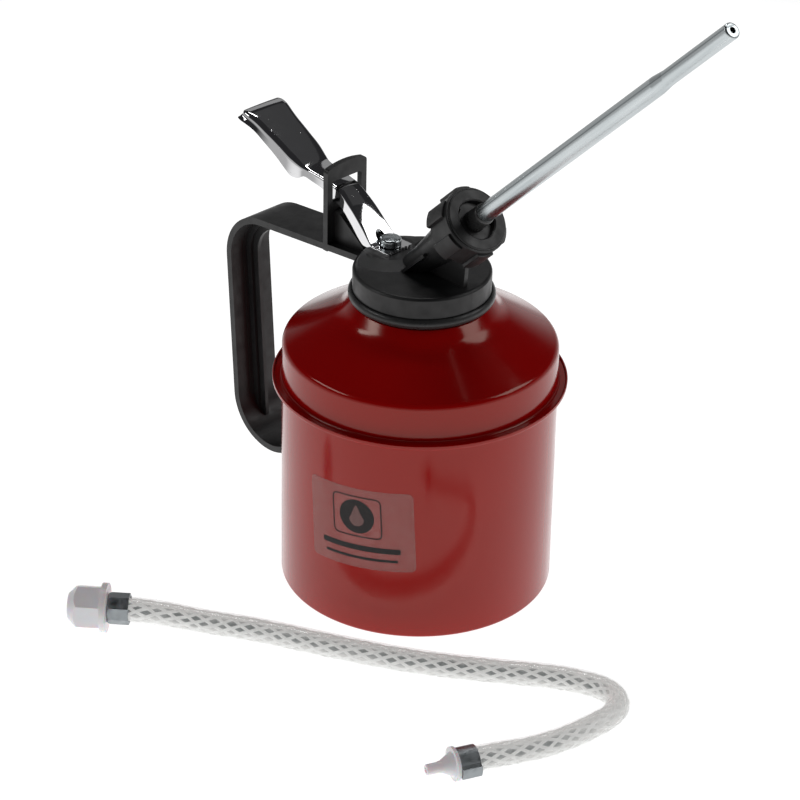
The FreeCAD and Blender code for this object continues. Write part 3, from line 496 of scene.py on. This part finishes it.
def hose_line():
    """Points along the hose's smooth centre line, a NURBS curve with the route as its corners."""
    data = bpy.data.curves.new("hose_route", "CURVE")
    data.dimensions = "3D"
    data.resolution_u = 24
    spline = data.splines.new("NURBS")
    spline.points.add(len(HOSE_ROUTE) - 1)
    for point, corner in zip(spline.points, HOSE_ROUTE):
        point.co = (*corner, 1)
    spline.order_u = 3
    spline.use_endpoint_u = True
    carrier = bpy.data.objects.new("hose_route", data)
    bpy.context.collection.objects.link(carrier)
    bpy.context.view_layer.update()
    mesh = bpy.data.meshes.new_from_object(carrier)
    line = [v.co.copy() for v in mesh.vertices]
    bpy.data.meshes.remove(mesh)
    bpy.data.objects.remove(carrier)
    return line


def evenly(line, step):
    """Points a fixed step apart along a line, its two ends included."""
    lengths = [0.0]
    for a, b in zip(line, line[1:]):
        lengths.append(lengths[-1] + (b - a).length)
    count = max(2, round(lengths[-1] / step))
    out, index = [], 0
    for k in range(count + 1):
        target = lengths[-1] * k / count
        while index < len(line) - 2 and lengths[index + 1] < target:
            index += 1
        span = lengths[index + 1] - lengths[index]
        share = (target - lengths[index]) / span if span > 0 else 0
        out.append(line[index].lerp(line[index + 1], min(1.0, share)))
    return out


def frames_along(points):
    """(point, side, over) at each point of a line that never runs straight up."""
    out = []
    for index, point in enumerate(points):
        ahead = points[min(index + 1, len(points) - 1)] - points[max(index - 1, 0)]
        side = ahead.cross(UP).normalized()
        out.append((point, side, side.cross(ahead).normalized()))
    return out


def tube_mesh(frames, radius, sides):
    """Vertices and faces of a round tube with closed ends along a line of frames."""
    corners = [(radius * math.cos(2 * math.pi * k / sides), radius * math.sin(2 * math.pi * k / sides))
               for k in range(sides)]
    verts, faces = [], []
    for point, side, over in frames:
        for across, height in corners:
            verts.append(point + side * across + over * height)
    for index in range(len(frames) - 1):
        for k in range(sides):
            after = (k + 1) % sides
            faces.append((index * sides + k, index * sides + after, (index + 1) * sides + after,
                          (index + 1) * sides + k))
    faces.append(tuple(range(sides)))
    last = (len(frames) - 1) * sides
    faces.append(tuple(last + k for k in range(sides)))
    return verts, faces


BRAID_STRANDS = 8
BRAID_PITCH = 50 * MM
BRAID_RADIUS = 3.45 * MM
BRAID_STEP = 1.1 * MM
# How far a strand rises and dips as it passes over and under the others.
WEAVE_HEIGHT = 0.14 * MM
YARNS_PER_STRAND = 3
YARN_WIDTH = 0.40 * MM
YARN_THICKNESS = 0.26 * MM
YARN_SIDES = 5
# How far a strand strays round the hose from its even winding, in radians.
WANDER = 0.08


def braid_geometry(line):
    """Flat strands of three yarns wound opposite ways round the core, passing over and under."""
    frames = frames_along(evenly(line, BRAID_STEP))
    length = BRAID_STEP * (len(frames) - 1)
    verts, faces = [], []
    for way in (1, -1):
        for strand in range(BRAID_STRANDS):
            for yarn in range(YARNS_PER_STRAND):
                base = len(verts)
                beside = (yarn - (YARNS_PER_STRAND - 1) / 2) * YARN_WIDTH * 0.93 / BRAID_RADIUS
                for index, (point, side, over) in enumerate(frames):
                    winding = 2 * math.pi * length * index / (len(frames) - 1) / BRAID_PITCH
                    wander = WANDER * (math.sin(winding * 3.7 + strand * 2.1 + way) *
                                       math.sin(winding * 0.9 + strand))
                    turn = way * winding + 2 * math.pi * strand / BRAID_STRANDS + beside + wander
                    weave = way * math.cos(BRAID_STRANDS * winding + strand * math.pi)
                    radius = BRAID_RADIUS + WEAVE_HEIGHT * weave
                    outward = side * math.cos(turn) + over * math.sin(turn)
                    around = over * math.cos(turn) - side * math.sin(turn)
                    for k in range(YARN_SIDES):
                        corner = 2 * math.pi * k / YARN_SIDES
                        verts.append(point + outward * (radius + YARN_THICKNESS / 2 * math.sin(corner)) +
                                     around * (YARN_WIDTH / 2 * math.cos(corner)))
                for index in range(len(frames) - 1):
                    low, high = base + index * YARN_SIDES, base + (index + 1) * YARN_SIDES
                    for k in range(YARN_SIDES):
                        after = (k + 1) % YARN_SIDES
                        faces.append((low + k, low + after, high + after, high + k))
                faces.append(tuple(base + k for k in range(YARN_SIDES)))
                last = base + (len(frames) - 1) * YARN_SIDES
                faces.append(tuple(last + k for k in range(YARN_SIDES)))
    return verts, faces


def make_hose(finish):
    """The clear hose, its core and its braid, built as three meshes riding on the flexible spout; the CAD
    hose tube is hidden.
    """
    line = hose_line()
    points = evenly(line, HOSE_STEP)
    frames = frames_along(points)
    verts, faces = tube_mesh(frames, HOSE_RADIUS, 28)
    tube = new_piece("hose_outer", verts, faces, finish["clear_hose"], "flexible_spout")
    verts, faces = tube_mesh(frames, CORE_RADIUS, 20)
    core = new_piece("hose_core", verts, faces, hose_core(), "flexible_spout")
    verts, faces = braid_geometry(line)
    braid = new_piece("hose_braid", verts, faces, braid_yarn(), "flexible_spout",
                      sharp=math.radians(80))
    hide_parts("hose_tube")


# ------------------------------------------------------------------ can
CAN_RADIUS = 44.0
CAN_WALL = 0.5
BASE_LIFT = 0.01
RIM_RADIUS = 47.0
RIM_HEIGHT = 70.7
BAND_TOP = 84.2
# The flat ring round the neck that the gasket sits on.
LAND_HEIGHT = 99.3
LAND_RADIUS = 18.9


def in_metres(outline):
    return [(x * MM, y * MM) for x, y in outline]


def turned(name, outline, radii, material, body):
    """A turned piece whose section's corners are rounded by the given radii, all in millimetres."""
    profile = rounded(in_metres(outline), [radius * MM for radius in radii], 6)
    return lathe(name, [tuple(point) for point in profile], material, body)


def make_can(finish):
    """Body and shoulder, each turned from its section, meeting in the rolled rim."""
    r, flange, wall = CAN_RADIUS, RIM_HEIGHT, CAN_WALL
    rim, seam = RIM_RADIUS, RIM_RADIUS - CAN_WALL - 0.05
    body = turned("can_body_shell", [
        (0, BASE_LIFT), (r, BASE_LIFT), (r, flange - 0.5), (r + 0.6, flange), (rim - 0.4, flange),
        (rim, flange + 0.5), (rim, flange + 1.6), (seam, flange + 1.6), (seam, flange + 0.5),
        (r - wall, flange + 0.5), (r - wall, wall), (0, wall)],
        [0, 1.4, 0.4, 0.4, 0.5, 0.5, 0.27, 0.27, 0.3, 0.3, 0.9, 0], finish["red_enamel"], "can")
    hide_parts("can_body")
    band, tuck = r - 0.1, seam - 0.1
    shoulder = turned("can_shoulder_shell", [
        (tuck, flange + 0.55), (tuck, flange + 1.05), (band, flange + 1.05), (band, BAND_TOP),
        (25.9, 94.7), (22.2, LAND_HEIGHT), (LAND_RADIUS, LAND_HEIGHT), (LAND_RADIUS, LAND_HEIGHT - wall),
        (21.8, LAND_HEIGHT - wall), (25.6, 94.3), (band - wall, BAND_TOP - 0.2),
        (band - wall, flange + 0.55)],
        [0.2, 0.2, 0.9, 2.6, 13.0, 0.5, 0, 0, 0.3, 13.4, 2.0, 0], finish["red_enamel"], "can")
    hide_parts("can_shoulder")


# ------------------------------------------------------------------ sticker
STICKER_MIDDLE = math.radians(-69.55)
STICKER_SIZE = (36.4, 28.6)
STICKER_HEIGHT = 38.2
STICKER_TILT = math.radians(3.2)
STICKER_CORNER = 1.8
OUTLINE_STEP = 1.5
# Heights over the can's wall, in millimetres, and how thick a printed patch is.
FILM_LIFT, FILM_THICKNESS = 0.02, 0.08
PRINT_LIFT, DROP_LIFT, PRINT_THICKNESS = 0.11, 0.13, 0.01
# The generic mark, in millimetres from the sticker's middle.
MARK_MIDDLE = (-0.6, 4.2)
FRAME_OUTER = (17.0, 14.6, 2.0)
FRAME_INNER = (16.2, 13.8, 1.6)
DISC_RADIUS = 6.0
DROP_HEIGHT = 7.0
# Name, size and corner rounding of each bar, and its height.
BARS = (("label_bar_wide", (27.0, 1.9, 0.3), -7.0), ("label_bar_thin", (25.0, 0.9, 0.2), -10.6))


def on_can(point, lift):
    """A point of the sticker, in (along, up) millimetres from its middle, on the can's wall."""
    x = point[0] * math.cos(STICKER_TILT) - point[1] * math.sin(STICKER_TILT)
    y = point[0] * math.sin(STICKER_TILT) + point[1] * math.cos(STICKER_TILT)
    radius, angle = CAN_RADIUS + lift, STICKER_MIDDLE + x / CAN_RADIUS
    return Vector((radius * math.cos(angle), radius * math.sin(angle), STICKER_HEIGHT + y)) * MM


def wrapped(name, outline, lift, thickness, material, centre=None):
    """A thin patch on the can's wall: a convex outline in (along, up) millimetres from its middle."""
    centre = Vector(centre) if centre else Vector((0, 0))
    rings = 8
    verts, faces = [], []
    count = len(outline)
    for level in (lift, lift + thickness):
        for ring in range(rings + 1):
            for point in outline:
                verts.append(on_can(centre.lerp(Vector(point), ring / rings), level))
    layer = (rings + 1) * count
    for level in (0, layer):
        for ring in range(rings):
            for k in range(count):
                after = (k + 1) % count
                faces.append((level + ring * count + k, level + ring * count + after,
                              level + (ring + 1) * count + after, level + (ring + 1) * count + k))
    edge = rings * count
    for k in range(count):
        after = (k + 1) % count
        faces.append((edge + k, edge + after, layer + edge + after, layer + edge + k))
    return new_piece(name, verts, faces, material, "can")


def rectangle(width, height, corner, middle=(0, 0)):
    """A rectangle with rounded corners, with points close enough to follow the can's wall."""
    x, y = width / 2, height / 2
    outline = rounded([(-x, -y), (x, -y), (x, y), (-x, y)], corner, 6)
    dense = []
    for index, point in enumerate(outline):
        after = outline[(index + 1) % len(outline)]
        pieces = max(1, round((after - point).length / OUTLINE_STEP))
        dense += [point.lerp(after, part / pieces) for part in range(pieces)]
    return [(point.x + middle[0], point.y + middle[1]) for point in dense]


def drop_shape(height, middle):
    """A plain oil drop: a circle whose upper half narrows and stretches to a point."""
    radius, drop = height * 0.36, height * 0.13
    points = []
    for k in range(40):
        angle = -math.pi / 2 + 2 * math.pi * k / 40
        rise = max(0.0, math.sin(angle))
        points.append((middle[0] + radius * math.cos(angle) * (1.0 - 0.35 * rise),
                       middle[1] - drop + radius * math.sin(angle) * (1.0 + 0.95 * rise ** 3)))
    return points


def make_sticker(finish):
    """Clear film with a generic mark on it: a framed disc with a drop, over two plain bars."""
    film = wrapped("label_patch", rectangle(*STICKER_SIZE, STICKER_CORNER), FILM_LIFT, FILM_THICKNESS,
                   finish["clear_film"])
    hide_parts("label_film")
    ink, pale = label_ink(), finish["clear_film"]
    frame_band("label_frame", rectangle(*FRAME_OUTER, MARK_MIDDLE), rectangle(*FRAME_INNER, MARK_MIDDLE),
               PRINT_LIFT, ink)
    disc = [(MARK_MIDDLE[0] + DISC_RADIUS * math.cos(2 * math.pi * k / 64),
             MARK_MIDDLE[1] + DISC_RADIUS * math.sin(2 * math.pi * k / 64)) for k in range(64)]
    wrapped("label_disc", disc, PRINT_LIFT, PRINT_THICKNESS, ink, MARK_MIDDLE)
    wrapped("label_drop", drop_shape(DROP_HEIGHT, MARK_MIDDLE), DROP_LIFT, PRINT_THICKNESS, pale,
            MARK_MIDDLE)
    for name, shape, height in BARS:
        wrapped(name, rectangle(*shape, (0.0, height)), PRINT_LIFT, PRINT_THICKNESS, ink, (0.0, height))


def frame_band(name, outer, inner, lift, material):
    """The strip between two outlines with the same number of points, on the can's wall."""
    count = min(len(outer), len(inner))
    verts, faces = [], []
    for outline in (outer, inner):
        for k in range(count):
            verts.append(on_can(outline[k * len(outline) // count], lift))
    for k in range(count):
        after = (k + 1) % count
        faces.append((k, after, count + after, count + k))
    return new_piece(name, verts, faces, material, "can")


# ------------------------------------------------------------------ lever
# Height of the top face, half width and height of the side walls' lower edge, against distance along X.
LEVER_TOP = ((-75.5, 139.5), (-75.25, 140.2), (-74.6, 140.65), (-73.4, 140.75), (-64.0, 137.0),
             (-53.6, 131.8), (-48.2, 128.9), (-41.0, 127.7), (-34.8, 126.6), (-28.6, 123.0),
             (-22.1, 117.4), (-18.9, 113.8), (-17.4, 112.55), (-16.2, 112.3), (-10.2, 112.3))
LEVER_PLAN = ((-75.5, 9.3), (-75.0, 9.65), (-74.0, 9.75), (-71.8, 9.4), (-67.0, 8.5), (-59.0, 7.8),
              (-54.5, 7.5), (-50.4, 6.4), (-47.3, 5.4), (-41.0, 4.9), (-34.3, 4.8), (-28.6, 5.1),
              (-22.1, 5.4), (-16.0, 5.5), (-10.2, 5.6))
LEVER_SKIRT = ((-75.5, 138.5), (-69.9, 136.5), (-64.4, 133.1), (-59.0, 129.6), (-55.1, 126.6),
               (-52.3, 124.7), (-50.8, 124.6), (-49.8, 125.0), (-48.4, 125.8), (-45.4, 125.1),
               (-40.3, 123.9), (-35.0, 121.9), (-31.7, 120.4), (-27.2, 116.8), (-22.9, 112.6),
               (-20.9, 111.35), (-10.2, 111.3))
# Corner rounding, and how far the side walls lean outwards, against distance along X.
LEVER_ROUNDING = ((-75.5, 0.5), (-73.0, 1.6), (-54.0, 1.8), (-48.0, 1.0), (-22.0, 0.8), (-18.0, 0.35),
                  (-10.2, 0.2))
LEVER_LEAN = ((-75.5, 3.4), (-75.1, 2.3), (-74.2, 1.5), (-73.0, 1.1), (-71.0, 0.9), (-54.0, 0.6),
              (-48.0, 0.35), (-22.0, 0.3), (-18.0, 0.0), (-10.2, 0.0))
# Rise of the middle over the edges of the top face.
LEVER_CROWN = ((-75.5, 0.1), (-54.0, 0.2), (-46.0, 0.3), (-30.0, 0.3), (-22.0, 0.28), (-18.5, 0.0),
               (-10.2, 0.0))
LEVER_SHEET = 0.9
ROD_X = -14.45
SLOT_HALF = 1.8
SLOT_ENDS = (ROD_X - 4.2, ROD_X)
LEVER_BACK, LEVER_FRONT = LEVER_TOP[0][0], LEVER_TOP[-1][0]
# The pad's turned-down lip, which takes closer sections.
LIP_LENGTH = 1.2
SECTION_STEP, SLOT_STEP = 0.55, 0.15
# Faces up the side wall, round its corner and from there to the middle.
WALL_FACES, CORNER_FACES, TOP_FACES = 4, 6, 44
NOTCH_SPACING = 1.3
NOTCH_RADIUS = 0.35


def smooth_through(table, x):
    """Value at x of a monotone-ish cubic through (x, value) pairs."""
    for index in range(len(table) - 1):
        (x0, y0), (x1, y1) = table[index], table[index + 1]
        if x <= x1 or index == len(table) - 2:
            break
    span = x1 - x0
    share = min(1.0, max(0.0, (x - x0) / span))
    slope = (y1 - y0) / span

    def corner_slope(at):
        if at <= 0 or at >= len(table) - 1:
            return slope
        before = (table[at][1] - table[at - 1][1]) / (table[at][0] - table[at - 1][0])
        after = (table[at + 1][1] - table[at][1]) / (table[at + 1][0] - table[at][0])
        return 0.0 if before * after < 0 else 2 * before * after / (before + after + 1e-12)

    start, end = corner_slope(index) * span, corner_slope(index + 1) * span
    return ((2 * share ** 3 - 3 * share ** 2 + 1) * y0 + (share ** 3 - 2 * share ** 2 + share) * start +
            (3 * share ** 2 - 2 * share ** 3) * y1 + (share ** 3 - share ** 2) * end)


def slot_half_width(x):
    """Half width of the foot's slot at x: parallel sides with round ends."""
    beyond = max(SLOT_ENDS[0] - x, x - SLOT_ENDS[1], 0.0)
    return math.sqrt(max(0.0, SLOT_HALF ** 2 - beyond ** 2))


def lever_half_section(x):
    """Outer and inner points, from the foot of the side wall over to the middle, for one side."""
    half, top, low = (smooth_through(table, x) for table in (LEVER_PLAN, LEVER_TOP, LEVER_SKIRT))
    crown = smooth_through(LEVER_CROWN, x)
    top -= crown
    height = top - low
    corner = min(smooth_through(LEVER_ROUNDING, x), 0.6 * height)
    lean = smooth_through(LEVER_LEAN, x)
    gap = slot_half_width(x)
    slope = (smooth_through(LEVER_TOP, x + 0.1) - smooth_through(LEVER_TOP, x - 0.1)) / 0.2
    sheet_down = LEVER_SHEET * min(1.6, math.sqrt(1 + slope ** 2))
    under = max(top - sheet_down, low + 0.02)
    outer, inner = [], []
    for k in range(WALL_FACES):
        share = k / WALL_FACES
        outer.append((half - lean * share, low + (height - corner) * share))
        inner.append((half - lean * share - LEVER_SHEET, min(under, low + (height - corner) * share)))
    for k in range(CORNER_FACES + 1):
        angle = math.pi / 2 * k / CORNER_FACES
        outer.append((half - lean - corner * (1 - math.cos(angle)), top - corner * (1 - math.sin(angle))))
        inner_corner = max(0.1, corner - LEVER_SHEET * 0.6)
        inner.append((half - lean - LEVER_SHEET - inner_corner * (1 - math.cos(angle)),
                      max(low + 0.01, under - inner_corner * (1 - math.sin(angle)))))
    start_outer, start_inner = outer[-1][0], inner[-1][0]
    for k in range(1, TOP_FACES + 1):
        share = k / TOP_FACES
        outer.append((start_outer + (gap - start_outer) * share, top + crown * (1 - (1 - share) ** 2)))
        inner.append((start_inner + (gap - start_inner) * share, under))
    return outer, inner, gap


def serration(y):
    """Depth of the seven small notches in the foot's front edge."""
    step = round(y / NOTCH_SPACING)
    away = abs(y - NOTCH_SPACING * step)
    return math.sqrt(NOTCH_RADIUS ** 2 - away ** 2) if abs(step) <= 3 and away < NOTCH_RADIUS else 0.0


def make_lever(finish):
    """A pressed channel: rounded pad, neck and a flat slotted foot with a serrated front edge."""
    stations = [LEVER_BACK + LIP_LENGTH * (k / 9) ** 2 for k in range(9)]
    x = LEVER_BACK + LIP_LENGTH
    while x < LEVER_FRONT:
        stations.append(x)
        near_slot = SLOT_ENDS[0] - 2 < x < SLOT_ENDS[0] or SLOT_ENDS[1] < x < SLOT_ENDS[1] + 2
        x += SLOT_STEP if near_slot else SECTION_STEP
    for edge in (SLOT_ENDS[0] - SLOT_HALF, SLOT_ENDS[1] + SLOT_HALF):
        stations += [edge + shift for shift in (-0.0001, 0.03, -0.03)]
    stations = sorted(set(round(value, 4) for value in stations)) + [LEVER_FRONT]
    verts, faces = [], []
    for side in (-1, 1):
        base = len(verts)
        gaps = []
        for x in stations:
            outer, inner, gap = lever_half_section(x)
            gaps.append(gap)
            for y, z in outer + inner:
                back = serration(y) if x == stations[-1] else 0.0
                verts.append(Vector((x - back, side * y, z)) * MM)
            count = len(outer)
        row = 2 * count
        for index in range(len(stations) - 1):
            here, there = base + index * row, base + (index + 1) * row
            for k in range(count - 1):
                faces.append((here + k, here + k + 1, there + k + 1, there + k))
                faces.append((here + count + k, here + count + k + 1, there + count + k + 1,
                              there + count + k))
            faces.append((here, here + count, there + count, there))
            if gaps[index] > 0 or gaps[index + 1] > 0:
                faces.append((here + count - 1, here + row - 1, there + row - 1, there + count - 1))
        for start in (base, base + (len(stations) - 1) * row):
            for k in range(count - 1):
                faces.append((start + k, start + k + 1, start + count + k + 1, start + count + k))
    lever = new_piece("lever_pressing", verts, faces, finish["chrome"], "lever",
                      sharp=math.radians(50))
    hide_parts("lever")


def dress_cad_nodes(finish):
    """Every CAD node that still shows gets its material."""
    slots = {entry["node"]: entry["material_slot"] for entry in frame["record"]["subparts"]}
    for name, item in frame["nodes"].items():
        if not item.material_slots:
            item.data.materials.append(None)
        for place in item.material_slots:
            place.material = finish[slots[name]]


def squash_return_spring():
    """Gives the return spring its own copy of its mesh; the coil is not shortened here."""
    spring = frame["nodes"]["return_spring"]
    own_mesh(spring)


make_camera()
make_studio()
materials = make_materials()
dress_cad_nodes(materials)
make_hose(materials)
make_can(materials)
make_sticker(materials)
make_lever(materials)
squash_return_spring()
